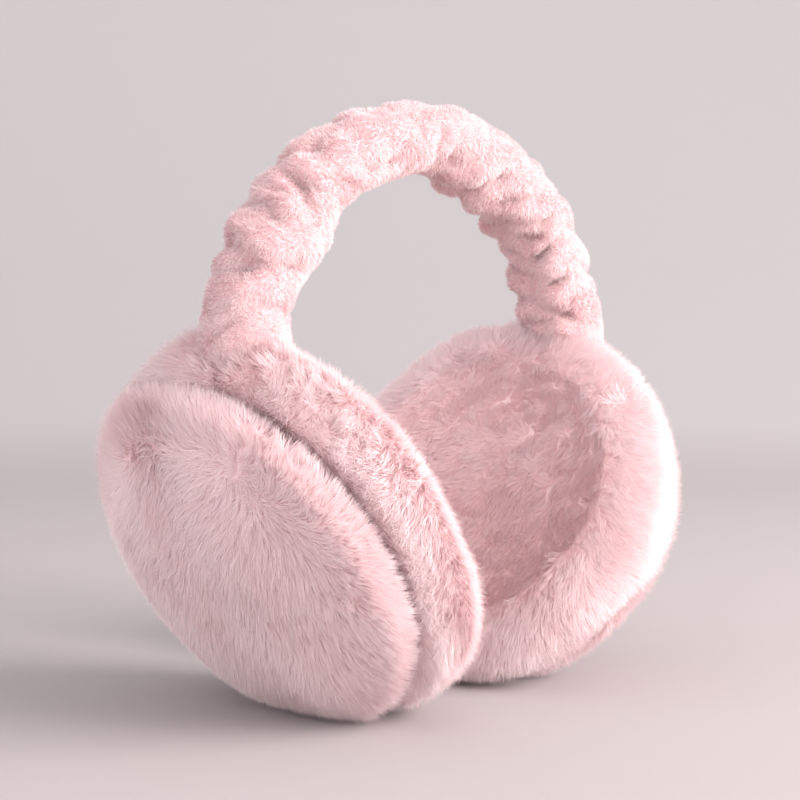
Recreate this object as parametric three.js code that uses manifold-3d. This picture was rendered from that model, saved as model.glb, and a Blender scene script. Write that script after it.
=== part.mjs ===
// Fur earmuffs: two round fur ear cups under an arched headband in a gathered plush sleeve.
// Millimetres, +Z up. The origin is on the surface that the cups stand on, midway between them.
// +X runs from the left cup to the right cup, and -Y is the front.
import * as THREE from 'three';
import { mergeVertices } from 'three/addons/utils/BufferGeometryUtils.js';
import Module from 'manifold-3d';

const wasm = await Module();
wasm.setup();

// ---- driving dimensions ----------------------------------------------------------------------

const GAP = 0.3;                // clearance between pieces that touch
const DEG = Math.PI / 180;

// The cups: each lies about its own axis, which points out of the head and down to the surface.
const CUP = {
  centreX: 56.8,                // middle of the groove between the two cushions, from the mid plane
  centreY: 1.4,
  centreZ: 47.9,
  tilt: 30.4 * DEG,             // how far the cups lean apart at the top
  toe: 5.2 * DEG,               // how far both outer faces turn to the back
};

// Cushions: sizes along the cup's axis start at the groove, sizes across it are radii.
const OUTER_CUSHION = {
  grooveRadius: 51,
  radius: 55.7,
  widestAt: 3.3,                // distance of the widest ring from the groove
  thickness: 25,                // at the edge of the face
  faceRadius: 0,                // a round dome has no flat face
  hollow: 0,
};
const INNER_CUSHION = {
  grooveRadius: 51,
  radius: 62.5,
  widestAt: 16.4,
  thickness: 26,
  faceRadius: 44,
  hollow: 5,                    // depth of the face's middle, where the ear goes
};
const CUSHION_SIDES = 40;
const GROOVE_STEPS = 4;
const SHOULDER_STEPS = 7;
const FACE_STEPS = 4;

// The headband's middle line: a flattened half ellipse in an upright plane. Its ends sink into the
// inner cushions. It stands a little to one side, as a soft band does.
const BAND = {
  left: { x: -69.5, y: -3.9 },
  right: { x: 77, y: -7 },
  endZ: 91,
  rise: 75.6,
  sideExponent: 1.14,           // above 1 pulls the shoulders of the arch in
  riseExponent: 0.83,           // below 1 makes the arch climb sooner
};

// The sleeve's section is an ellipse that is a little thicker at its ends than at the crown.
const SLEEVE = {
  halfThicknessCrown: 10.6,
  halfThicknessEnd: 11.8,
  halfWidth: 12.9,
  sides: 20,
  rings: 84,
};

// Gathers in the sleeve. along: place on the arch, from 0 at the left end to 1 at the right end.
// around: the side that the gather shows on, in degrees (0 outside the arch, 90 at the front,
// 180 inside it). height: how far it swells, or sinks where negative. length: along the arch, in
// millimetres. spread: around the sleeve, in degrees. slant: millimetres along the arch that it
// shifts for each radian around.
const GATHERS = [
  { along: 0.070, around: 60, height: 1.2, length: 8, spread: 110, slant: 4 },
  { along: 0.115, around: 150, height: -1.8, length: 4, spread: 60, slant: 6 },
  { along: 0.150, around: 175, height: 1.6, length: 7, spread: 60, slant: 5 },
  { along: 0.165, around: 40, height: -2.0, length: 4, spread: 55, slant: 6 },
  { along: 0.215, around: 80, height: 1.4, length: 8, spread: 100, slant: 8 },
  { along: 0.260, around: 165, height: 1.5, length: 7, spread: 50, slant: 7 },
  { along: 0.290, around: 90, height: -1.8, length: 4, spread: 80, slant: 9 },
  { along: 0.335, around: 60, height: 1.3, length: 8, spread: 100, slant: 8 },
  { along: 0.380, around: 120, height: -1.7, length: 4, spread: 70, slant: 9 },
  { along: 0.430, around: 90, height: 1.4, length: 10, spread: 120, slant: 3 },
  { along: 0.492, around: 80, height: -2.4, length: 3.5, spread: 100, slant: -2 },
  { along: 0.530, around: 150, height: 2.2, length: 9, spread: 60, slant: -6 },
  { along: 0.585, around: 110, height: -1.8, length: 5, spread: 60, slant: -7 },
  { along: 0.635, around: 160, height: 2.6, length: 10, spread: 60, slant: -6 },
  { along: 0.700, around: 60, height: 1.8, length: 9, spread: 80, slant: -6 },
  { along: 0.735, around: 130, height: -2.0, length: 5, spread: 60, slant: -6 },
  { along: 0.790, around: 30, height: 1.4, length: 9, spread: 90, slant: -4 },
  { along: 0.830, around: 100, height: -1.9, length: 4, spread: 60, slant: -3 },
  { along: 0.875, around: 110, height: -1.7, length: 4, spread: 60, slant: -3 },
  { along: 0.920, around: 70, height: 1.5, length: 8, spread: 110, slant: -5 },
];

const BACK_SHIFT = 0.025;       // the back's gathers sit this share of the arch further along

// ---- materials -------------------------------------------------------------------------------

const plushSleeve = new THREE.MeshStandardMaterial({ color: 0xf2cfd1, roughness: 0.95, metalness: 0 });
const outerFur = new THREE.MeshStandardMaterial({ color: 0xe9c6c7, roughness: 0.98, metalness: 0 });
const innerFur = new THREE.MeshStandardMaterial({ color: 0xe6babc, roughness: 0.98, metalness: 0 });

// ---- solids ----------------------------------------------------------------------------------

// Closed three.js geometry to a manifold solid: vertices merged, collapsed triangles left out.
function toSolid(geometry) {
  const bare = geometry.clone();
  bare.deleteAttribute('normal');
  bare.deleteAttribute('uv');
  const merged = mergeVertices(bare, 1e-4);
  const corners = merged.index.array;
  const kept = [];
  for (let i = 0; i < corners.length; i += 3) {
    const [a, b, c] = corners.slice(i, i + 3);
    if (a !== b && b !== c && c !== a) kept.push(a, b, c);
  }
  return new wasm.Manifold(new wasm.Mesh({
    numProp: 3,
    vertProperties: new Float32Array(merged.attributes.position.array),
    triVerts: new Uint32Array(kept),
  }));
}

function toGeometry(solid) {
  const mesh = solid.getMesh();
  const geometry = new THREE.BufferGeometry();
  geometry.setAttribute('position', new THREE.BufferAttribute(new Float32Array(mesh.vertProperties), 3));
  geometry.setIndex(new THREE.BufferAttribute(new Uint32Array(mesh.triVerts), 1));
  geometry.computeVertexNormals();
  return geometry;
}

// A cushion is a body of revolution about the cup's axis. Its profile runs from the middle of the
// flat side in the groove, round the bulge and the shoulder, to the middle of the open face.
// direction is 1 for the cushion outside the groove and -1 for the one on the ear side, and grow
// makes every side that much larger.
function cushionGeometry(size, direction, grow = 0) {
  const start = GAP / 2 - grow;
  const grooveRadius = size.grooveRadius + grow;
  const radius = size.radius + grow;
  const profile = [new THREE.Vector2(0, start)];
  for (let i = 0; i <= GROOVE_STEPS; i++) {
    const turn = (Math.PI / 2) * (i / GROOVE_STEPS - 1);
    const across = grooveRadius + (radius - grooveRadius) * Math.cos(turn);
    profile.push(new THREE.Vector2(across, size.widestAt + (size.widestAt - start) * Math.sin(turn)));
  }
  for (let i = 1; i <= SHOULDER_STEPS; i++) {
    const turn = (Math.PI / 2) * (i / SHOULDER_STEPS);
    const across = size.faceRadius + (radius - size.faceRadius) * Math.cos(turn);
    const along = size.widestAt + (size.thickness + grow - size.widestAt) * Math.sin(turn);
    profile.push(new THREE.Vector2(across, along));
  }
  for (let i = 1; size.hollow > 0 && i <= FACE_STEPS; i++) {
    const share = 1 - i / FACE_STEPS;
    const along = size.thickness + grow - (size.hollow * (1 + Math.cos(Math.PI * share))) / 2;
    profile.push(new THREE.Vector2(size.faceRadius * share, along));
  }
  const lathe = new THREE.LatheGeometry(profile, CUSHION_SIDES);
  return lathe.rotateZ(direction > 0 ? -Math.PI / 2 : Math.PI / 2);
}

// A cup is a group whose own +X is the cup's axis, out of the head.
function cupGroup(side) {
  const cup = new THREE.Group();
  cup.position.set(side * CUP.centreX, CUP.centreY, CUP.centreZ);
  cup.rotation.set(0, CUP.tilt, side > 0 ? CUP.toe : Math.PI - CUP.toe, 'ZYX');
  cup.updateMatrixWorld(true);
  return cup;
}

// Everything over the surface, as a block in the cup's own frame. It presses the fur flat.
function spaceOverSurface(cup) {
  const size = 400;
  const block = new THREE.BoxGeometry(size, size, size).translate(0, 0, size / 2);
  return toSolid(block.applyMatrix4(cup.matrixWorld.clone().invert()));
}

function addCushion(cup, name, size, direction, material) {
  const solid = toSolid(cushionGeometry(size, direction)).intersect(spaceOverSurface(cup));
  const mesh = new THREE.Mesh(toGeometry(solid), material);
  mesh.name = name;
  cup.add(mesh);
}

class ArchCurve extends THREE.Curve {
  getPoint(t, target = new THREE.Vector3()) {
    const turn = Math.PI * t;
    const side = -Math.sign(Math.cos(turn)) * Math.abs(Math.cos(turn)) ** BAND.sideExponent;
    const height = Math.abs(Math.sin(turn)) ** BAND.riseExponent;
    const share = (1 + side) / 2;
    return target.set(
      THREE.MathUtils.lerp(BAND.left.x, BAND.right.x, share),
      THREE.MathUtils.lerp(BAND.left.y, BAND.right.y, share),
      BAND.endZ + BAND.rise * height,
    );
  }
}

// How far the gathers push the sleeve's surface out at one place. Each is a smooth hump along the
// arch and round the sleeve, and its middle line slants. Each comes again on the back.
function gatherHeight(along, around, archLength) {
  let height = 0;
  for (const gather of GATHERS) {
    for (const facing of [1, -1]) {
      const turn = facing * around - gather.around * DEG;
      const apart = Math.atan2(Math.sin(turn), Math.cos(turn));
      const place = facing > 0 ? gather.along : gather.along + BACK_SHIFT;
      const shift = ((along - place) * archLength - gather.slant * apart) / gather.length;
      const reach = apart / (gather.spread * DEG);
      height += gather.height * Math.exp(-shift * shift - reach * reach);
    }
  }
  return height;
}

// The sleeve is a closed cylinder whose rings are carried along the arch.
function sleeveGeometry() {
  const arch = new ArchCurve();
  arch.arcLengthDivisions = 800;
  const archLength = arch.getLength();
  const geometry = new THREE.CylinderGeometry(1, 1, 1, SLEEVE.sides, SLEEVE.rings);
  const position = geometry.attributes.position;
  const vertex = new THREE.Vector3();
  for (let i = 0; i < position.count; i++) {
    vertex.fromBufferAttribute(position, i);
    const along = vertex.y + 0.5;
    const around = Math.atan2(vertex.x, vertex.z);
    const share = Math.hypot(vertex.x, vertex.z);
    const centre = arch.getPointAt(along);
    const tangent = arch.getTangentAt(Math.min(Math.max(along, 1e-3), 1 - 1e-3));
    const outward = new THREE.Vector3(-tangent.z, 0, tangent.x).normalize();
    const height = (centre.z - BAND.endZ) / BAND.rise;
    const halfThickness = THREE.MathUtils.lerp(SLEEVE.halfThicknessEnd, SLEEVE.halfThicknessCrown, height);
    const gather = gatherHeight(along, around, archLength);
    const out = share * (halfThickness + gather) * Math.cos(around);
    const front = share * (SLEEVE.halfWidth + gather) * Math.sin(around);
    centre.addScaledVector(outward, out);
    centre.y -= front;
    position.setXYZ(i, centre.x, centre.y, centre.z);
  }
  return geometry;
}

// ---- assembly --------------------------------------------------------------------------------

const group = new THREE.Group();
let sleeve = toSolid(sleeveGeometry());

for (const [prefix, side] of [['left', -1], ['right', 1]]) {
  const cup = cupGroup(side);
  addCushion(cup, `${prefix}_outer_cushion`, OUTER_CUSHION, 1, outerFur);
  addCushion(cup, `${prefix}_inner_cushion`, INNER_CUSHION, -1, innerFur);
  group.add(cup);
  for (const [size, direction] of [[OUTER_CUSHION, 1], [INNER_CUSHION, -1]]) {
    const cushion = cushionGeometry(size, direction, GAP).applyMatrix4(cup.matrixWorld);
    sleeve = sleeve.subtract(toSolid(cushion));
  }
}

const headband = new THREE.Mesh(toGeometry(sleeve), plushSleeve);
headband.name = 'headband_sleeve';
group.add(headband);

export default group;
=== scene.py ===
"""Fur earmuffs: padded fur ear cups and a headband in a gathered plush sleeve.

Each padded form is a closed grid of points, and its fur is a second piece of short blades that
are rooted on that grid. Lengths are metres unless a comment says millimetres. Left is towards -x,
right towards +x and the front towards -y.
"""

import itertools
import math

import bpy
import numpy as np
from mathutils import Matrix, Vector


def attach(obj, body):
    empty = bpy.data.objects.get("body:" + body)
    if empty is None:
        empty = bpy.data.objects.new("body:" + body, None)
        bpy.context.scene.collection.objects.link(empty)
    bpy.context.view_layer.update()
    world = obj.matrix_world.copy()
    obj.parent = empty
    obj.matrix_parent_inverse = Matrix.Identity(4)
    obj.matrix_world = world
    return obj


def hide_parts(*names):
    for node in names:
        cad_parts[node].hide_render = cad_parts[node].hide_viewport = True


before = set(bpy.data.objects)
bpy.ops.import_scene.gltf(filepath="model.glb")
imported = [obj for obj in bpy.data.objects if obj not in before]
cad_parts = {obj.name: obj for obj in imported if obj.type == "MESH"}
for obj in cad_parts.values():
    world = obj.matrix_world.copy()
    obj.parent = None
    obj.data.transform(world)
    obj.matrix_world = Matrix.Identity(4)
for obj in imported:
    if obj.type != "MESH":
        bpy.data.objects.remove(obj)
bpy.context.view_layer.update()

MM = 0.001

# ---- sizes -------------------------------------------------------------------------------------

# The right cup's frame: the middle of its groove, the lean that brings its outer face down towards
# the floor, and the turn of that face away from the front. The left cup's middle and axis are the
# mirror image.
CUP_CENTRE = np.array([56.8, 1.4, 47.9]) * MM
CUP_TILT = math.radians(30.4)
CUP_TOE = math.radians(5.2)

# Outer forms of the two cushions, measured from the groove. groove is the seam's radius, radius
# that of the widest ring, and widest how far along the cup's axis that ring lies. thickness is
# the whole form along the axis, face the radius of the ear face, hollow its dish's depth, and
# roundness the power that fills the shoulder out or in. skin_depth is how far the padded skin
# lies under the tips of the fur. side is 1 away from the head and -1 towards it.
OUTER_CUSHION = dict(
    groove=52.3 * MM, radius=55.7 * MM, widest=3.3 * MM, thickness=25.0 * MM, face=0.0,
    hollow=0.0, roundness=1.0, skin_depth=2.7 * MM, side=1,
)
INNER_CUSHION = dict(
    groove=52.3 * MM, radius=62.5 * MM, widest=16.4 * MM, thickness=27.0 * MM, face=45.0 * MM,
    hollow=6.5 * MM, roundness=1.12, skin_depth=2.7 * MM, side=-1,
)
CUSHION_ROWS = 64
CUSHION_COLUMNS = 96

# On the back and low side the two cushions are sewn less deep, so the groove is fuller there.
GROOVE_FILL = 4.5 * MM
GROOVE_FILL_REACH = 5.0 * MM
GROOVE_FILL_START = math.radians(80)
GROOVE_FILL_END = math.radians(212)
GROOVE_FILL_EASE_IN = 0.5
GROOVE_FILL_EASE_OUT = 0.25
GROOVE_FILL_INNER_RADIUS = 40.0 * MM

# The slow unevenness of the cushions' padding.
SWELL_HEIGHT = 0.6 * MM
SWELL_LENGTH = 45.0 * MM

# Fur on the cushions. A blade's widths at the root are millimetres. It stands for a lock of
# fibres, so it is drawn several times wider than a real fibre. Leans are radians from upright.
OUTER_STRANDS = 160000
INNER_STRANDS = 190000
FUR_LENGTH = 5.6 * MM
FUR_SHORTER_IN_HOLLOW = 1.8 * MM
FUR_WIDTHS = (0.18, 0.32)
FUR_LEAN = 1.12
FUR_LEAN_RANGE = (0.3, 1.38)
FUR_TUFT = 3.6 * MM
FUR_PULLED_TUFT = 3.0 * MM
FUR_CLEAR_OF_BAND = 9.5 * MM

# The band's middle line, as in the part: an arch between its two ends.
BAND_LEFT = np.array([-69.5, -3.9]) * MM
BAND_RIGHT = np.array([77.0, -7.0]) * MM
BAND_END_Z = 91.0 * MM
BAND_RISE = 75.6 * MM
BAND_SIDE_EXPONENT = 1.14
BAND_RISE_EXPONENT = 0.83

# The sleeve's section, before its gathers.
SLEEVE_THICKNESS_CROWN = 10.6 * MM
SLEEVE_THICKNESS_END = 11.8 * MM
SLEEVE_WIDTH = 12.9 * MM
SLEEVE_SKIN_DEPTH = 1.0 * MM
SLEEVE_ROWS = 330
SLEEVE_COLUMNS = 88

# Pile on the sleeve: lengths and root widths in millimetres, lean in radians from upright. The
# blades are drawn coarser than real fibres here too.
SLEEVE_STRANDS = 185000
PILE_LENGTHS = (1.4, 2.5)
PILE_WIDTHS = (0.18, 0.30)
PILE_LEAN = 0.85
PILE_LEAN_RANGE = (0.2, 1.38)
PILE_TUFT = 1.6 * MM
PILE_PULLED_TUFT = 1.5 * MM

# Puffs between the gathers: place along the arch from 0 to 1, side in degrees (0 outside the
# arch, 90 front, 180 inside), height and length in millimetres, spread in degrees, and slant in
# millimetres for each radian round the sleeve.
PUFFS = (
    # along, around, height, length, spread, slant
    (0.075, 60, 1.0, 9, 100, 3),
    (0.110, 120, -2.4, 9, 32, 0),
    (0.185, 95, 1.5, 9, 80, 5),
    (0.225, 140, 1.4, 9, 40, 5),
    (0.315, 60, 1.2, 12, 80, 6),
    (0.315, 130, -2.2, 12, 32, 0),
    (0.385, 65, 1.2, 11, 60, 2),
    (0.470, 70, -0.7, 10, 60, 0),
    (0.540, 60, 0.9, 14, 60, -6),
    (0.580, 150, 2.3, 6, 30, -9),
    (0.630, 172, 2.6, 6, 28, -9),
    (0.655, 70, 0.9, 12, 60, -5),
    (0.700, 130, 2.0, 7, 35, -8),
    (0.745, 60, 0.8, 9, 60, 0),
    (0.810, 130, 1.6, 6, 38, -2),
    (0.868, 150, 1.6, 6, 30, -2),
    (0.930, 80, 1.0, 9, 90, -3),
)

# Creases: as above, with depth and width in millimetres in place of height and length, and lip,
# the height of the soft roll on each side of the crease.
CREASES = (
    # along, around, depth, width, spread, slant, lip
    (0.138, 18, 2.6, 2.0, 30, 2, 0.9),
    (0.156, 86, 2.8, 1.9, 24, 3, 0.8),
    (0.196, 30, 1.3, 2.0, 55, 6, 0.6),
    (0.214, -10, 1.2, 3.0, 40, 3, 0.4),
    (0.243, 52, 2.7, 2.2, 42, -5, 1.0),
    (0.285, -5, 1.7, 3.6, 34, 6, 0.5),
    (0.288, 80, 1.0, 1.8, 34, 9, 0.4),
    (0.340, 14, 2.0, 3.2, 26, 3, 0.6),
    (0.335, 95, 1.2, 2.2, 22, 9, 0.4),
    (0.405, 22, 2.2, 4.0, 18, 3, 0.4),
    (0.382, 111, 3.0, 5.2, 15, 3, 0.5),
    (0.452, 80, 1.0, 1.6, 22, -3, 0.4),
    (0.475, 104, 1.4, 1.8, 26, -6, 0.5),
    (0.515, 135, 1.8, 4.5, 26, -8, 0.4),
    (0.558, 120, 1.2, 2.0, 20, -6, 0.5),
    (0.600, 150, 1.9, 2.6, 34, -9, 0.5),
    (0.622, 120, 1.7, 3.6, 15, -4, 0.6),
    (0.665, 140, 1.8, 2.6, 34, -9, 0.4),
    (0.702, 85, 1.0, 2.2, 34, -4, 0.4),
    (0.730, 118, 1.8, 2.4, 22, -3, 0.5),
    (0.752, 150, 1.6, 2.6, 26, -5, 0.3),
    (0.783, 146, 2.4, 1.8, 26, 2, 0.9),
    (0.790, 70, 1.0, 2.4, 30, -3, 0.3),
    (0.836, 142, 2.0, 1.8, 18, 2, 0.9),
    (0.850, 60, 1.1, 2.2, 34, -2, 0.3),
    (0.893, 140, 1.7, 2.2, 26, -8, 0.7),
)

# How far along the arch the back's puffs and creases lie from the front's.
BACK_SHIFT = 0.025

# Even gathers between the creases. They are weaker round one smooth stretch of the arch.
GATHER_SPACING = 11.0 * MM
GATHER_HEIGHT = 2.4 * MM
SMOOTH_STRETCH_ALONG = 0.37
SMOOTH_STRETCH_LENGTH = 0.055

# The edge of cloth that overlaps at the crown, placed along the arch and round it in degrees.
OVERLAP_ALONG = 0.420
OVERLAP_AROUND = 66
OVERLAP_SPREAD = 34
OVERLAP_STEP = 1.5 * MM

FLOOR_CLEARANCE = 0.3 * MM

# Each blade is turned at random about its length by up to this many radians.
BLADE_ROLL = 0.18

# The camera, and the way that it looks and its level right.
CAMERA_AZIMUTH = math.radians(49.7)
CAMERA_TILT = math.radians(3.05)
CAMERA_PLACE = np.array([-408.7, -347.2, 116.7]) * MM
CAMERA_LENS = 80.0
CAMERA_SENSOR = 36.0
LOOK = np.array([math.sin(CAMERA_AZIMUTH) * math.cos(CAMERA_TILT),
                 math.cos(CAMERA_AZIMUTH) * math.cos(CAMERA_TILT), -math.sin(CAMERA_TILT)])
RIGHT = np.array([math.cos(CAMERA_AZIMUTH), -math.sin(CAMERA_AZIMUTH), 0.0])

# Lights, placed from the middle of the earmuffs: powers are watts and sizes are metres. The
# world is brighter at the horizon than overhead.
MIDDLE = np.array([0.0, 0.0, 0.08])
KEY_PLACE = MIDDLE + 1.05 * RIGHT - 0.42 * LOOK + np.array([0, 0, 0.43])
KEY_SIZE = 0.8
KEY_POWER = 27.0
FILL_PLACE = MIDDLE - 0.8 * RIGHT - 1.1 * LOOK + np.array([0, 0, 0.18])
FILL_SIZE = 1.4
FILL_POWER = 1.5
WORLD_AT_HORIZON = 1.9
WORLD_OVERHEAD = 0.8

# The paper sweep, in metres from the earmuffs along the camera's level look.
SWEEP_HALF_WIDTH = 5.0
SWEEP_FRONT = -4.5
SWEEP_BEND_START = 0.6
SWEEP_BEND_RADIUS = 1.3
SWEEP_TOP = 3.0

# ---- numbers -----------------------------------------------------------------------------------


def unit(vectors):
    """Vectors scaled to length one along their last axis."""
    return vectors / np.maximum(np.linalg.norm(vectors, axis=-1, keepdims=True), 1e-12)


def smooth_step(x):
    """0 below 0, 1 above 1, and 3 x squared minus 2 x cubed between."""
    x = np.clip(x, 0.0, 1.0)
    return x * x * (3.0 - 2.0 * x)


def waves(points, size, seed, count=9):
    """Smooth noise from about -1 to 1: the sum of sine waves about size long, in directions and
    phases drawn from seed."""
    rng = np.random.default_rng(seed)
    total = np.zeros(points.shape[:-1])
    for _ in range(count):
        direction = unit(rng.normal(size=3)) * (2.0 * math.pi / size) * rng.uniform(0.6, 1.5)
        total += np.sin(points @ direction + rng.uniform(0.0, 2.0 * math.pi))
    return total / math.sqrt(count)


def vector_waves(points, size, seed):
    """Three independent sets of waves as one vector field."""
    return np.stack([waves(points, size, seed + k) for k in range(3)], axis=-1)


def cell_numbers(cells, seed):
    """Three numbers from 0 to 1 for each whole-numbered cell, scattered by integer hashing: the
    cell's numbers times large primes are mixed bit by bit, then shifted and multiplied again."""
    with np.errstate(over="ignore"):
        x, y, z = (cells[..., k].astype(np.uint32) for k in range(3))
        mixed = (x * np.uint32(73856093)) ^ (y * np.uint32(19349663)) ^ (z * np.uint32(83492791))
        mixed = mixed ^ np.uint32(seed * 2654435761 % 2**32)
        numbers = []
        for _ in range(3):
            mixed = (mixed ^ (mixed >> np.uint32(15))) * np.uint32(2246822519)
            mixed = (mixed ^ (mixed >> np.uint32(13))) * np.uint32(3266489917)
            numbers.append((mixed >> np.uint32(8)).astype(float) / 2**24)
    return np.stack(numbers, axis=-1)


def tufts(points, size, seed):
    """Splits points into tufts about size across: each belongs to the nearest of the seeds that
    are dropped at random, one to each cube of that size. Returns tuft numbers and seed points."""
    cells = np.floor(points / size).astype(np.int64)
    nearest = np.full(len(points), np.inf)
    home = np.zeros_like(points)
    for offset in itertools.product((-1, 0, 1), repeat=3):
        neighbour = cells + np.array(offset)
        middle = (neighbour + cell_numbers(neighbour, seed)) * size
        distance = np.sum((points - middle) ** 2, axis=1)
        closer = distance < nearest
        nearest = np.where(closer, distance, nearest)
        home = np.where(closer[:, None], middle, home)
    keys = np.round(home / (size * 1e-4)).astype(np.int64)
    _, number = np.unique(keys, axis=0, return_inverse=True)
    return number.ravel(), home


def tuft_mean(values, number):
    """Each tuft's mean of values, given back to every member."""
    count = np.bincount(number)
    sums = np.stack([np.bincount(number, weights=values[:, k]) for k in range(3)], axis=-1)
    return (sums / count[:, None])[number]


# ---- meshes ------------------------------------------------------------------------------------


def put_mesh(name, points, faces, uv=None):
    """A mesh object from an array of points and an array of faces with equal corner counts."""
    corners = faces.shape[1]
    mesh = bpy.data.meshes.new(name)
    mesh.vertices.add(len(points))
    mesh.vertices.foreach_set("co", points.astype(np.float32).ravel())
    mesh.loops.add(faces.size)
    mesh.loops.foreach_set("vertex_index", faces.astype(np.int32).ravel())
    mesh.polygons.add(len(faces))
    mesh.polygons.foreach_set("loop_start", np.arange(0, faces.size, corners, dtype=np.int32))
    mesh.polygons.foreach_set("use_smooth", np.ones(len(faces), dtype=bool))
    if uv is not None:
        layer = mesh.uv_layers.new(name="OFBake")
        layer.uv.foreach_set("vector", uv[faces.ravel()].astype(np.float32).ravel())
    mesh.update(calc_edges=True)
    obj = bpy.data.objects.new(name, mesh)
    bpy.context.collection.objects.link(obj)
    return obj


def put_form(name, grid):
    """A closed form from a grid of points: each row is a ring, two triangles fill each cell
    between two rings, and the first and last rows close to one point each, in their middle."""
    rows, columns = grid.shape[:2]
    rings = grid[1:-1].reshape(-1, 3)
    points = np.concatenate([grid[:1].mean(axis=1), rings, grid[-1:].mean(axis=1)])
    ring = np.arange(columns)
    following = (ring + 1) % columns
    start = 1 + columns * np.arange(rows - 3)[:, None]
    quads = np.stack([start + ring, start + following, start + columns + following,
                      start + columns + ring], axis=-1).reshape(-1, 4)
    last = 1 + columns * (rows - 3)
    first_fan = np.stack([np.zeros_like(ring), following + 1, ring + 1], axis=-1)
    end = np.full_like(ring, len(points) - 1)
    last_fan = np.stack([end, last + ring, last + following], axis=-1)
    halves = np.concatenate([quads[:, [0, 1, 2]], quads[:, [0, 2, 3]]])
    faces = np.concatenate([first_fan, halves, last_fan])
    return put_mesh(name, points, faces)


def grid_normals(grid):
    """Unit normals of a grid whose columns run round: the cross product of the step along a row
    and the step to the next row."""
    around = np.roll(grid, -1, axis=1) - np.roll(grid, 1, axis=1)
    down = np.gradient(grid, axis=0)
    around[0], around[-1] = around[1], around[-2]
    return unit(np.cross(around, down))


def on_grid(values, row, column):
    """Values of a grid at fractional rows and columns, each mixed from the four around it."""
    columns = values.shape[1]
    r0 = np.clip(np.floor(row).astype(int), 0, values.shape[0] - 2)
    c0 = np.floor(column).astype(int) % columns
    c1 = (c0 + 1) % columns
    fr = (row - r0)[:, None]
    fc = (column - np.floor(column))[:, None]
    upper = values[r0, c0] * (1 - fc) + values[r0, c1] * fc
    lower = values[r0 + 1, c0] * (1 - fc) + values[r0 + 1, c1] * fc
    return upper * (1 - fr) + lower * fr


def scatter(grid, count, rng):
    """Fractional rows and columns of count places spread evenly by area over a grid."""
    across = np.linalg.norm(np.roll(grid, -1, axis=1) - grid, axis=-1)
    down = np.linalg.norm(np.diff(grid, axis=0), axis=-1)
    area = 0.5 * (across[:-1] + across[1:]) * down
    total = np.cumsum(area.ravel())
    places = (np.arange(count) + rng.uniform(0.0, 1.0, count)) / count * total[-1]
    cell = np.minimum(np.searchsorted(total, places), area.size - 1)
    row, column = np.divmod(cell, grid.shape[1])
    return row + rng.uniform(0.0, 1.0, count), column + rng.uniform(0.0, 1.0, count)


# ---- fur ---------------------------------------------------------------------------------------


def put_fur(name, root, normal, flow, length, lean, width, tuft_size, pull, seed, tone_and_shade):
    """Fur as one mesh of blades, one long triangle each, wide at the root and pointed at the tip.

    A blade leans from the normal towards flow by lean radians. The tips of each tuft are pulled
    towards their mean by pull, from 0 to 1. The blade's flat side faces out, turned a little at
    random about its length, and no tip goes through the floor. The map's u runs from root to tip
    and its v is the shade of colour, the fibres' own tone with any painted shade, a hair apart at
    the two root corners so that the blade has an area.
    """
    rng = np.random.default_rng(seed)
    count = len(root)
    flow = unit(flow - normal * np.sum(flow * normal, axis=1, keepdims=True))
    reach = length[:, None] * (np.cos(lean)[:, None] * normal + np.sin(lean)[:, None] * flow)
    tip = root + reach
    number, _ = tufts(root, tuft_size, seed)
    tip = tip + pull[:, None] * (tuft_mean(tip, number) - tip)
    reach = unit(tip - root)
    across = unit(np.cross(normal, reach))
    up = np.cross(reach, across)
    turn = rng.uniform(-BLADE_ROLL, BLADE_ROLL, count)[:, None]
    half = (0.5 * width)[:, None] * (across * np.cos(turn) + up * np.sin(turn))
    points = np.stack([root + half, root - half, tip], axis=1).reshape(-1, 3)
    points[:, 2] = np.maximum(points[:, 2], FLOOR_CLEARANCE)
    faces = np.arange(3 * count).reshape(-1, 3)
    shade = np.clip(tone_and_shade, 0.02, 0.98)
    u = np.tile(np.array([0.02, 0.02, 0.98]), count)
    v = np.repeat(shade, 3) + np.tile(np.array([-0.006, 0.006, 0.0]), count)
    return put_mesh(name, points, faces, np.stack([u, v], axis=-1))


# ---- cushions ----------------------------------------------------------------------------------


def cup_frame(side):
    """The groove's middle and three unit axes: out of the head, across, and up the cup. They are
    the world's axes turned about y by the cup's tilt and then about z by its toe."""
    turn = CUP_TOE if side > 0 else math.pi - CUP_TOE
    about_z = np.array([[math.cos(turn), -math.sin(turn), 0],
                        [math.sin(turn), math.cos(turn), 0],
                        [0, 0, 1]])
    about_y = np.array([[math.cos(CUP_TILT), 0, math.sin(CUP_TILT)],
                        [0, 1, 0],
                        [-math.sin(CUP_TILT), 0, math.cos(CUP_TILT)]])
    return CUP_CENTRE * np.array([side, 1, 1]), about_z @ about_y


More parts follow.
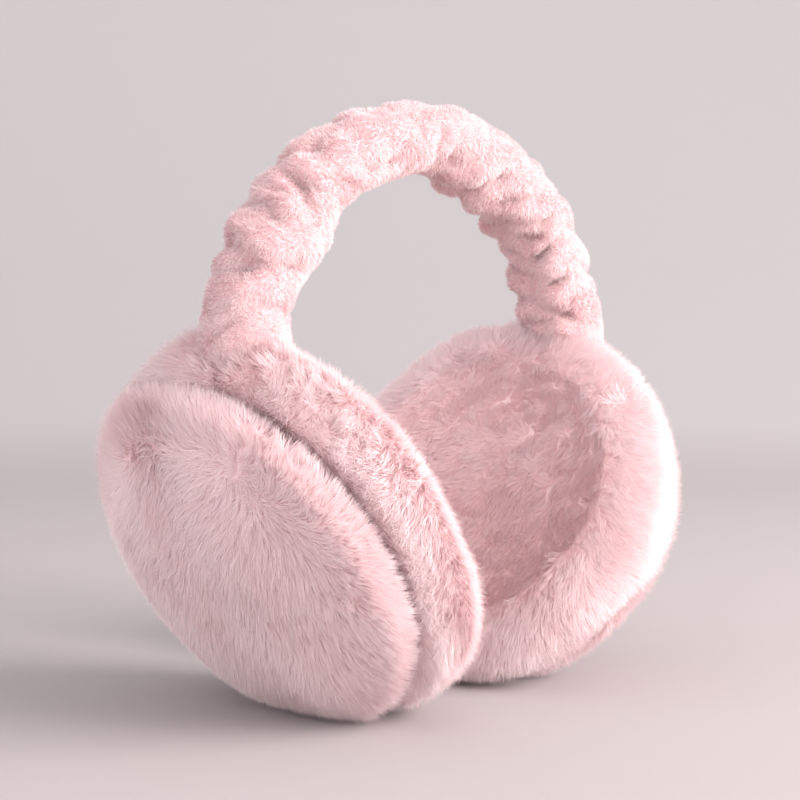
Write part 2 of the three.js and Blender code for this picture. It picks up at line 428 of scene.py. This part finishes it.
def cushion_outline(size):
    """Distances along and across the cup's axis, at even steps round the cushion: out along the
    groove, a quarter ellipse to the widest ring, a quarter ellipse with its sine and cosine raised
    to the roundness down to the face, and a dish to the middle, whose depth is one less the cube
    of the distance's share of the face. The skin is this line moved in by skin_depth."""
    turn = np.linspace(0.0, math.pi / 2, 60)
    groove = np.stack([np.full(40, 0.0), np.linspace(0.0, size["groove"], 40)], axis=-1)
    bulge = np.stack([size["widest"] * (1 - np.cos(turn)),
                      size["groove"] + (size["radius"] - size["groove"]) * np.sin(turn)], axis=-1)
    rise = size["thickness"] - size["widest"]
    power = size["roundness"]
    drop = size["radius"] - size["face"]
    shoulder = np.stack([size["widest"] + rise * np.sin(turn) ** power,
                         size["face"] + drop * np.cos(turn) ** power], axis=-1)
    share = np.linspace(1.0, 0.0, 40)
    face = np.stack([size["thickness"] - size["hollow"] * (1 - share**3), size["face"] * share], axis=-1)
    line = np.concatenate([groove, bulge[1:], shoulder[1:]] + ([face[1:]] if size["face"] else []))
    tangent = unit(np.gradient(line, axis=0))
    inward = np.stack([tangent[:, 1], -tangent[:, 0]], axis=-1)
    line = line + inward * size["skin_depth"]
    line[0, 1] = line[-1, 1] = 0.0
    line[:, 1] = np.maximum(line[:, 1], 0.0)
    step = np.concatenate([[0.0], np.cumsum(np.linalg.norm(np.diff(line, axis=0), axis=1))])
    even = np.linspace(0.0, step[-1], CUSHION_ROWS)
    return np.stack([np.interp(even, step, line[:, k]) for k in range(2)], axis=-1)


def cushion_grid(size, side, seed):
    """The padded skin: the outline spun about the cup's axis, with a slow swell that makes the
    padding uneven and fades to nothing at the seam. Where the groove is fuller, the skin is
    pushed out by a bell curve of the distance from the seam. Its underside is pressed flat on
    the floor."""
    origin, axes = cup_frame(side)
    outline = cushion_outline(size)
    spin = size["side"] * np.linspace(0.0, 2 * math.pi, CUSHION_COLUMNS, endpoint=False)
    angle = np.mod(spin, 2 * math.pi)
    along = size["side"] * outline[:, 0][:, None] * np.ones_like(angle)
    across = outline[:, 1][:, None]
    local = np.stack([along, across * np.cos(spin), across * np.sin(spin)], axis=-1)
    fill = smooth_step((angle - GROOVE_FILL_START) / GROOVE_FILL_EASE_IN)
    fill = fill * smooth_step((GROOVE_FILL_END - angle) / GROOVE_FILL_EASE_OUT)
    on_rim = np.hypot(local[..., 1], local[..., 2]) > GROOVE_FILL_INNER_RADIUS
    puff = GROOVE_FILL * fill[None, :] * np.exp(-((along / GROOVE_FILL_REACH) ** 2)) * on_rim
    swell = SWELL_HEIGHT * waves(local, SWELL_LENGTH, seed)
    local = local + swell[..., None] * unit(local) * smooth_step(np.abs(along) / (8 * MM))[..., None]
    local = local + puff[..., None] * unit(local * np.array([0.0, 1.0, 1.0]))
    grid = origin + local @ axes.T
    grid[..., 2] = np.maximum(grid[..., 2], 2 * FLOOR_CLEARANCE)
    return grid, origin, axes


def band_point(t):
    """The arch at t from 0 to 1: sideways as a power of the cosine, up as a power of the sine."""
    turn = math.pi * t
    sideways = -np.sign(np.cos(turn)) * np.abs(np.cos(turn)) ** BAND_SIDE_EXPONENT
    share = ((1 + sideways) / 2)[..., None]
    flat = BAND_LEFT * (1 - share) + BAND_RIGHT * share
    height = BAND_END_Z + BAND_RISE * np.abs(np.sin(turn)) ** BAND_RISE_EXPONENT
    return np.concatenate([flat, height[..., None]], axis=-1)


def distance_to_band(points):
    """Distance from each point to the nearest of twelve points along each end of the arch, where
    it goes into the cups."""
    line = band_point(np.concatenate([np.linspace(0.0, 0.12, 12), np.linspace(0.88, 1.0, 12)]))
    return np.min(np.linalg.norm(points[:, None] - line[None], axis=-1), axis=1)


# Ruffles: arcs on a cushion where the fur parts and its tufts splay. radius and width are in
# millimetres, start and end in degrees from the cup's own level, and strength is 0 to 1.
OUTER_RUFFLES = (
    # radius, start, end, width, strength
    (50.5, 42, 60, 4.5, 0.55),
    (50.0, 12, 40, 3.5, 0.4),
    (45.0, -2, 10, 5.0, 0.45),
    (38.0, 30, 60, 6.0, 0.15),
)
INNER_RUFFLES = (
    # radius, start, end, width, strength
    (46.0, -178, -100, 4.0, 0.5),
    (47.0, 140, 182, 3.0, 0.3),
    (61.0, 55, 85, 4.0, 0.5),
    (60.0, 20, 45, 4.0, 0.3),
    (20.0, -180, 180, 25.0, 0.16),
)


def ruffle_strength(local, table):
    """How ruffled the fur is, 0 to 1: the largest of the arcs' strengths, each fading as a bell
    curve of the distance across it and past its ends."""
    across = np.hypot(local[:, 1], local[:, 2])
    angle = np.arctan2(local[:, 2], local[:, 1])
    ruffled = np.zeros(len(local))
    for radius, start, end, width, strength in table:
        middle = math.radians(0.5 * (start + end))
        apart = np.abs(np.angle(np.exp(1j * (angle - middle)))) - math.radians(0.5 * (end - start))
        beyond = np.maximum(apart, 0.0) * across
        distance = np.hypot(across - radius * MM, beyond) / (width * MM)
        ruffled = np.maximum(ruffled, strength * np.exp(-(distance**2)))
    return ruffled


def cushion_fur(name, size, grid, origin, axes, count, ruffles, seed):
    """Dense soft fur on a cushion, rooted evenly by area but for the hidden seam and the place of
    the band. Its flow is downward and a little outward on the face, and outward and over the edge
    towards the groove on the rim, mixed by a smooth step of the distance from the axis. Slow
    waves bend it, and waves that are equal over a tuft splay it in ruffles and in the hollow for
    the ear, where it is also shorter. It stands up more beside the band, the groove and the
    crest of the rim. Its shade of colour varies slowly and at random by tuft, and is darker in
    ruffles and in the hollow, which is painted shade where the fur parts and in the ear's dish."""
    rng = np.random.default_rng(seed)
    normals = grid_normals(grid)
    row, column = scatter(grid, count * 2, rng)
    root = on_grid(grid, row, column)
    normal = unit(on_grid(normals, row, column))
    local = (root - origin) @ axes
    depth = np.abs(local[:, 0])
    shown = (depth > 1.6 * MM) | (np.hypot(local[:, 1], local[:, 2]) > size["groove"] - 7 * MM)
    clear = distance_to_band(root) > FUR_CLEAR_OF_BAND
    keep = np.flatnonzero(shown & clear)
    keep = np.sort(rng.permutation(keep)[:count])
    root, normal, local, depth = root[keep], normal[keep], local[keep], depth[keep]
    total = len(root)
    across = np.hypot(local[:, 1], local[:, 2])
    ruffled = ruffle_strength(local, ruffles)
    ruffled = np.maximum(ruffled, 0.15 * smooth_step(waves(root, 24 * MM, seed + 7) - 0.6))
    number, home = tufts(root, FUR_TUFT, seed + 1)
    nap = np.array([0.0, 0.0, -1.0]) * np.ones((total, 1))
    outward = unit(local * np.array([0.0, 1.0, 1.0]))
    rim = smooth_step((across - size["radius"] + 20 * MM) / (20 * MM))[:, None]
    over_edge = outward - np.array([0.7 * size["side"], 0, 0])
    flow = (1 - rim) * (nap + 0.4 * outward) + rim * over_edge
    steady = vector_waves(root, 40 * MM, seed + 2) @ axes
    splayed = vector_waves(home, 5 * MM, seed + 3) @ axes
    if size["face"]:
        hollow = (1 - smooth_step((across - size["face"] + 5 * MM) / (8 * MM))) * (depth > 12 * MM)
    else:
        hollow = np.zeros(total)
    flow = flow + 0.35 * steady + (0.15 + 0.5 * hollow + 1.2 * ruffled)[:, None] * splayed
    flow = flow @ axes.T + 0.20 * rng.normal(size=(total, 3))
    beside_band = 1 - smooth_step((distance_to_band(root) - 11 * MM) / (8 * MM))
    near_groove = 1 - smooth_step(depth / (5 * MM))
    length = (FUR_LENGTH - FUR_SHORTER_IN_HOLLOW * hollow) * rng.uniform(0.7, 1.15, total)
    lean = FUR_LEAN - 0.3 * near_groove - 0.55 * beside_band
    lean = lean + (0.03 + 0.16 * ruffled) * waves(home, 4 * MM, seed + 4)
    crest = np.exp(-(((across - size["radius"] + size["skin_depth"]) / (4 * MM)) ** 2))
    lean = lean - 0.3 * crest + rng.normal(0.0, 0.12, total) * (1 + crest)
    lean = np.clip(lean, *FUR_LEAN_RANGE)
    width = rng.uniform(*FUR_WIDTHS, total) * MM
    tuft_tint = rng.uniform(-1, 1, number.max() + 1)[number]
    # Slow waves and tufts give the fibres' own tone; the darkening in ruffles and the hollow is painted
    # shade.
    tone_and_shade = 0.72 + 0.08 * waves(root, 26 * MM, seed + 5) + 0.03 * tuft_tint - 0.25 * ruffled
    tone_and_shade = tone_and_shade - 0.35 * hollow
    tone_and_shade = tone_and_shade + 0.05 * rng.uniform(-1, 1, total)
    pull = 0.18 + 0.5 * ruffled
    return put_fur(name, root, normal, flow, length, lean, width, FUR_PULLED_TUFT, pull, seed, tone_and_shade)


# ---- sleeve ------------------------------------------------------------------------------------


def fold_place(along, around, at, side, spread, slant, arch_length):
    """The distance along the arch from a fold's slanted middle line, and a bell curve of the turn
    round the sleeve from the fold's own side."""
    apart = np.angle(np.exp(1j * (around - math.radians(side))))
    offset = (along - at) * arch_length - slant * MM * apart
    return offset, np.exp(-((apart / math.radians(spread)) ** 2))


def fold_height(along, around, arch_length):
    """How far puffs, creases and the overlap stand out, in metres. A puff is a bell curve of the
    distance along the arch from its slanted middle line. A crease falls off exponentially to a
    rounded point on that line, and has a soft roll, a bell curve, on both sides. Each fades as a
    bell curve round the sleeve, and comes again on the back. The overlap is a step, the
    hyperbolic tangent of the distance from its curved edge, that dies out on both sides."""
    height = np.zeros(np.broadcast(along, around).shape)
    for facing in (1, -1):
        start = along - (0.0 if facing > 0 else BACK_SHIFT)
        for at, side, rise, length, spread, slant in PUFFS:
            offset, fade = fold_place(start, facing * around, at, side, spread, slant, arch_length)
            height += rise * MM * np.exp(-((offset / (length * MM)) ** 2)) * fade
        for at, side, depth, width, spread, slant, lip in CREASES:
            offset, fade = fold_place(start, facing * around, at, side, spread, slant, arch_length)
            widths = np.abs(offset) / (width * MM)
            hollow = -1.7 * depth * np.exp(-np.sqrt(widths**2 + 0.02))
            roll = 1.6 * lip * np.exp(-(((widths - 2.6) / 1.5) ** 2))
            height += MM * (hollow + roll) * fade
    apart = np.angle(np.exp(1j * (around - math.radians(OVERLAP_AROUND))))
    offset = (along - OVERLAP_ALONG) * arch_length - 3.0 * MM * np.cos(2.2 * apart)
    fade = np.exp(-((apart / math.radians(OVERLAP_SPREAD)) ** 4))
    edge = -0.5 * np.tanh(offset / (0.45 * MM)) * np.exp(-((offset / (11 * MM)) ** 2))
    height += OVERLAP_STEP * edge * fade
    return height


def sleeve_grid(depth):
    """The sleeve's surface: an ellipse carried along the arch and pushed out by its folds, a fine
    ripple and its gathers, depth under the outer form. The gathers are a sine's size raised to a
    power, which is sharp in its valleys, of the distance along the arch bent by slow waves. The
    ends close to a point, inside the cups."""
    t = np.linspace(0.0, 1.0, 4001)
    line = band_point(t)
    walked = np.concatenate([[0.0], np.cumsum(np.linalg.norm(np.diff(line, axis=0), axis=1))])
    arch_length = walked[-1]
    share = np.linspace(0.0, 1.0, SLEEVE_ROWS)
    place = np.interp(share * arch_length, walked, t)
    centre = band_point(place)
    step = 1e-3
    tangent = unit(band_point(np.clip(place + step, 0, 1)) - band_point(np.clip(place - step, 0, 1)))
    front = np.array([0.0, -1.0, 0.0])
    out = unit(np.cross(front, tangent))
    around = np.linspace(0.0, 2 * math.pi, SLEEVE_COLUMNS, endpoint=False)
    high = ((centre[:, 2] - BAND_END_Z) / BAND_RISE)[:, None]
    thickness = SLEEVE_THICKNESS_END * (1 - high) + SLEEVE_THICKNESS_CROWN * high
    fold = fold_height(share[:, None], around[None], arch_length)
    rough = centre[:, None] + out[:, None] * (thickness * np.cos(around))[..., None]
    rough = rough + front * (SLEEVE_WIDTH * np.sin(around))[None, :, None]
    ripple = 0.2 * MM * waves(rough, 7 * MM, 71) * (0.6 + 0.4 * waves(rough, 30 * MM, 72))
    warp = 0.5 * waves(rough, 36 * MM, 73) + 0.12 * waves(rough, 12 * MM, 74)
    ring = np.abs(np.sin(math.pi * (share[:, None] * arch_length / GATHER_SPACING + warp)))
    strength = np.clip(0.6 + 0.45 * waves(rough, 22 * MM, 75), 0.1, 1.2)
    off_smooth = (share[:, None] - SMOOTH_STRETCH_ALONG) / SMOOTH_STRETCH_LENGTH
    strength = strength * (1 - 0.75 * np.exp(-(off_smooth**2)))
    gathers = GATHER_HEIGHT * strength * (ring**0.6 - 0.75)
    reach = fold + ripple + gathers - depth
    ends = smooth_step(np.minimum(share, 1 - share) / 0.004)[:, None]
    grid = centre[:, None] + out[:, None] * ((thickness + reach) * np.cos(around) * ends)[..., None]
    return grid + front * ((SLEEVE_WIDTH + reach) * np.sin(around) * ends)[..., None]


def sleeve_pile(grid, count, seed):
    """Short plush pile on the sleeve, rooted evenly by area. Its flow is downward, bent by waves
    that are equal over a fine tuft and by a random turn for each blade."""
    rng = np.random.default_rng(seed)
    normals = grid_normals(grid)
    row, column = scatter(grid, count, rng)
    inner = (row > 4) & (row < SLEEVE_ROWS - 6)
    row, column = row[inner], column[inner]
    root = on_grid(grid, row, column)
    normal = unit(on_grid(normals, row, column))
    _, home = tufts(root, PILE_TUFT, seed + 1)
    flow = np.array([0.0, 0.0, -0.7]) + 0.5 * vector_waves(home, 16 * MM, seed + 2)
    flow = flow + 0.35 * vector_waves(home, 4 * MM, seed + 3) + 0.7 * rng.normal(size=root.shape)
    length = rng.uniform(*PILE_LENGTHS, len(root)) * MM
    lean = PILE_LEAN + 0.06 * waves(home, 6 * MM, seed + 4) + rng.normal(0.0, 0.14, len(root))
    lean = np.clip(lean, *PILE_LEAN_RANGE)
    width = rng.uniform(*PILE_WIDTHS, len(root)) * MM
    tone_and_shade = 0.6 + 0.10 * waves(root, 30 * MM, seed + 5) + 0.14 * rng.uniform(-1, 1, len(root))
    pull = np.full(len(root), 0.35)
    return put_fur("sleeve_pile", root, normal, flow, length, lean, width, PILE_PULLED_TUFT, pull,
                   seed, tone_and_shade)


# ---- materials ---------------------------------------------------------------------------------


def colour(hex_code):
    """An sRGB hex code as linear red, green, blue and alpha."""
    values = [int(hex_code[k:k + 2], 16) / 255 for k in (1, 3, 5)]
    linear = [v / 12.92 if v <= 0.04045 else ((v + 0.055) / 1.055) ** 2.4 for v in values]
    return (*linear, 1.0)


def add(tree, kind, settings=None, inputs=None, links=None):
    """A node of one kind, with its settings, its socket values and the sockets linked into it."""
    node = tree.nodes.new(kind)
    for key, value in (settings or {}).items():
        setattr(node, key, value)
    for key, value in (inputs or {}).items():
        node.inputs[key].default_value = value
    for key, source in (links or {}).items():
        tree.links.new(source, node.inputs[key])
    return node


def new_material(name):
    """An empty node material and its tree."""
    material = bpy.data.materials.new(name)
    material.use_nodes = True
    material.node_tree.nodes.clear()
    return material, material.node_tree


def ramp_stops(node, stops):
    """Sets a Color Ramp's stops from pairs of place and hex code."""
    elements = node.color_ramp.elements
    while len(elements) > 2:
        elements.remove(elements[-1])
    while len(elements) < len(stops):
        elements.new(1.0)
    for element, (place, hex_code) in zip(elements, stops):
        element.position = place
        element.color = colour(hex_code)


def fur_material(name, root_hex, middle_hex, tip_hex, dark_hex, light_hex):
    """Acrylic faux fur, heat-set and brushed: a little deeper pink towards the roots and paler at
    the tips, painted shade between the fibres which gives the pile its depth, with tufts that
    differ a little. Light shines through the fibres, which softens the shadows between them. u of
    the map runs up the hair and v is its shade of colour, the fibres' own tone with painted shade
    where the cushions darken it. The fibres are drawn coarser than real ones."""
    material, tree = new_material(name)
    uv = add(tree, "ShaderNodeUVMap", {"uv_map": "OFBake"})
    split = add(tree, "ShaderNodeSeparateXYZ", links={"Vector": uv.outputs["UV"]})
    along = add(tree, "ShaderNodeValToRGB", links={"Fac": split.outputs["X"]})
    ramp_stops(along, ((0.0, root_hex), (0.45, middle_hex), (1.0, tip_hex)))
    tone_and_shade = add(tree, "ShaderNodeValToRGB", links={"Fac": split.outputs["Y"]})
    ramp_stops(tone_and_shade, ((0.0, dark_hex), (1.0, light_hex)))
    mixed = add(tree, "ShaderNodeMix", {"data_type": "RGBA", "blend_type": "MULTIPLY"}, {"Factor": 1.0})
    tree.links.new(along.outputs["Color"], mixed.inputs[6])
    tree.links.new(tone_and_shade.outputs["Color"], mixed.inputs[7])
    shader = add(tree, "ShaderNodeBsdfPrincipled",
                 inputs={"Roughness": 0.72, "IOR": 1.5, "Specular IOR Level": 0.08, "Sheen Weight": 0.03,
                         "Sheen Roughness": 0.4, "Sheen Tint": colour("#ffe9ea")},
                 links={"Base Color": mixed.outputs[2]})
    through = add(tree, "ShaderNodeBsdfTranslucent", links={"Color": mixed.outputs[2]})
    both = add(tree, "ShaderNodeMixShader", inputs={0: 0.35})
    tree.links.new(shader.outputs[0], both.inputs[1])
    tree.links.new(through.outputs[0], both.inputs[2])
    add(tree, "ShaderNodeOutputMaterial", links={"Surface": both.outputs[0]})
    return material


def skin_material(name, base_hex, deep_hex):
    """The knitted backing under the fur, seen only between tufts: pink, a little deeper than the
    fibres as painted shade in the gaps, with a fine mottle about a millimetre across, the size of
    the knit's loops, which keeps the gaps from looking smooth.
    The noise's scale is in cells to the metre."""
    material, tree = new_material(name)
    place = add(tree, "ShaderNodeTexCoord")
    mottle = add(tree, "ShaderNodeTexNoise", inputs={"Scale": 900.0, "Detail": 3.0, "Roughness": 0.6},
                 links={"Vector": place.outputs["Object"]})
    shades = add(tree, "ShaderNodeValToRGB", links={"Fac": mottle.outputs["Fac"]})
    ramp_stops(shades, ((0.3, deep_hex), (0.7, base_hex)))
    bump = add(tree, "ShaderNodeBump", inputs={"Strength": 0.5, "Distance": 0.0006},
               links={"Height": mottle.outputs["Fac"]})
    shader = add(tree, "ShaderNodeBsdfPrincipled",
                 inputs={"Roughness": 0.95, "IOR": 1.5, "Specular IOR Level": 0.2, "Sheen Weight": 0.3,
                         "Sheen Roughness": 0.5},
                 links={"Base Color": shades.outputs["Color"], "Normal": bump.outputs["Normal"]})
    add(tree, "ShaderNodeOutputMaterial", links={"Surface": shader.outputs[0]})
    return material


def floor_material():
    """Matt grey paper sweep, a shade darker on the floor than up the wall, so that the pale fur
    stands out from it."""
    material, tree = new_material("paper_sweep")
    place = add(tree, "ShaderNodeTexCoord")
    split = add(tree, "ShaderNodeSeparateXYZ", links={"Vector": place.outputs["Object"]})
    height = add(tree, "ShaderNodeMapRange", inputs={"From Max": 0.5},
                 links={"Value": split.outputs["Z"]})
    shades = add(tree, "ShaderNodeValToRGB", links={"Fac": height.outputs["Result"]})
    ramp_stops(shades, ((0.0, "#b5aeaf"), (0.05, "#c0babb"), (0.3, "#bcb8b9")))
    shader = add(tree, "ShaderNodeBsdfPrincipled",
                 inputs={"Roughness": 0.9, "Specular IOR Level": 0.2},
                 links={"Base Color": shades.outputs["Color"]})
    add(tree, "ShaderNodeOutputMaterial", links={"Surface": shader.outputs[0]})
    return material


# The colours run from root to tip, deeper pink at the roots as painted shade between the
# fibres, then from the darkest tuft to the lightest, where the darkest also carries painted shade
# in ruffles and the ear hollow. The strands are paler than the fur looks as a whole, because
# light that passes between them takes on more of their colour each time.
FAUX_FUR = fur_material("acrylic_faux_fur", "#fae6e7", "#fdf2f3", "#fef4f5", "#f7e6e7", "#ffffff")
PLUSH_PILE = fur_material("short_plush_pile", "#f5dfe1", "#f7e8e9", "#f9eeef", "#f6ecec", "#ffffff")
# The backings are a deeper pink than the fibres: painted shade in the gaps between the tufts.
FUR_BACKING = skin_material("knitted_fur_backing", "#fae6e7", "#f5d6d9")
PLUSH_BACKING = skin_material("plush_backing", "#f2d6d8", "#ecc6ca")


def finish_piece(obj, material, node=None):
    """Gives a piece its material, attaches it to the root body, and hides the CAD part that it stands
    for.
    """
    obj.data.materials.append(material)
    if node:
        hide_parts(node)
    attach(obj, "root")


# ---- pieces ------------------------------------------------------------------------------------

for cup_name, cup_side, cup_seed in (("left", -1, 100), ("right", 1, 200)):
    for kind, cushion, strands, ruffles in (("outer", OUTER_CUSHION, OUTER_STRANDS, OUTER_RUFFLES),
                                            ("inner", INNER_CUSHION, INNER_STRANDS, INNER_RUFFLES)):
        own_seed = cup_seed + (0 if kind == "outer" else 50)
        points, middle, axes = cushion_grid(cushion, cup_side, own_seed)
        skin = put_form(f"{cup_name}_{kind}_padding", points)
        finish_piece(skin, FUR_BACKING, f"{cup_name}_{kind}_cushion")
        fur = cushion_fur(f"{cup_name}_{kind}_fur", cushion, points, middle, axes, strands, ruffles,
                          own_seed)
        finish_piece(fur, FAUX_FUR)

sleeve_points = sleeve_grid(SLEEVE_SKIN_DEPTH)
sleeve = put_form("gathered_sleeve", sleeve_points)
finish_piece(sleeve, PLUSH_BACKING, "headband_sleeve")
finish_piece(sleeve_pile(sleeve_points, SLEEVE_STRANDS, 300), PLUSH_PILE)

# ---- stage -------------------------------------------------------------------------------------


def put_sweep():
    """A paper sweep: flat floor, a quarter round, and an upright wall behind, turned to face the
    camera. Each row of the grid is one line across it."""
    turn = np.linspace(0.0, math.pi / 2, 24)
    wall = SWEEP_BEND_START + SWEEP_BEND_RADIUS
    bend = SWEEP_BEND_START + SWEEP_BEND_RADIUS * np.sin(turn)
    far = np.concatenate([[SWEEP_FRONT], bend, [wall]])
    high = np.concatenate([[0.0], SWEEP_BEND_RADIUS * (1 - np.cos(turn)), [SWEEP_TOP]])
    across = np.array([-SWEEP_HALF_WIDTH, SWEEP_HALF_WIDTH])
    local = np.stack([np.broadcast_to(across, (len(far), 2)),
                      np.repeat(far[:, None], 2, axis=1)], axis=-1)
    right = np.array([math.cos(CAMERA_AZIMUTH), -math.sin(CAMERA_AZIMUTH)])
    ahead = np.array([math.sin(CAMERA_AZIMUTH), math.cos(CAMERA_AZIMUTH)])
    flat = local[..., :1] * right + local[..., 1:] * ahead
    grid = np.concatenate([flat, np.repeat(high[:, None, None], 2, axis=1)], axis=-1)
    row = 2 * np.arange(len(far) - 1)[:, None]
    obj = put_mesh("paper_sweep", grid.reshape(-1, 3), row + np.array([0, 1, 3, 2]))
    obj.data.materials.append(floor_material())


def put_light(name, position, target, size, watts, hex_code):
    """A square area light aimed at a point."""
    light = bpy.data.lights.new(name, "AREA")
    light.size = size
    light.energy = watts
    light.color = colour(hex_code)[:3]
    obj = bpy.data.objects.new(name, light)
    obj.location = position
    obj.rotation_euler = aim(position, target)
    bpy.context.collection.objects.link(obj)


def aim(position, target):
    """Euler angles that point an object's -Z from position to target, with its Y kept upward."""
    return (Vector(target) - Vector(position)).to_track_quat("-Z", "Y").to_euler()


camera_data = bpy.data.cameras.new("camera")
camera_data.lens = CAMERA_LENS
camera_data.sensor_width = CAMERA_SENSOR
camera = bpy.data.objects.new("camera", camera_data)
camera.location = CAMERA_PLACE
camera.rotation_euler = aim(CAMERA_PLACE, CAMERA_PLACE + LOOK)
bpy.context.collection.objects.link(camera)
bpy.context.scene.camera = camera

put_sweep()
put_light("key_softbox", KEY_PLACE, MIDDLE, KEY_SIZE, KEY_POWER, "#fff6f3")
put_light("fill_panel", FILL_PLACE, MIDDLE, FILL_SIZE, FILL_POWER, "#f6f2f6")

world = bpy.data.worlds.new("studio")
world.use_nodes = True
sky = world.node_tree
background = sky.nodes["Background"]
background.inputs["Color"].default_value = colour("#f4f1f2")
direction = add(sky, "ShaderNodeTexCoord")
heights = add(sky, "ShaderNodeSeparateXYZ", links={"Vector": direction.outputs["Generated"]})
strength = add(sky, "ShaderNodeMapRange",
               inputs={"To Min": WORLD_AT_HORIZON, "To Max": WORLD_OVERHEAD},
               links={"Value": heights.outputs["Z"]})
sky.links.new(strength.outputs["Result"], background.inputs["Strength"])
bpy.context.scene.world = world
bpy.context.scene.view_settings.view_transform = "Standard"
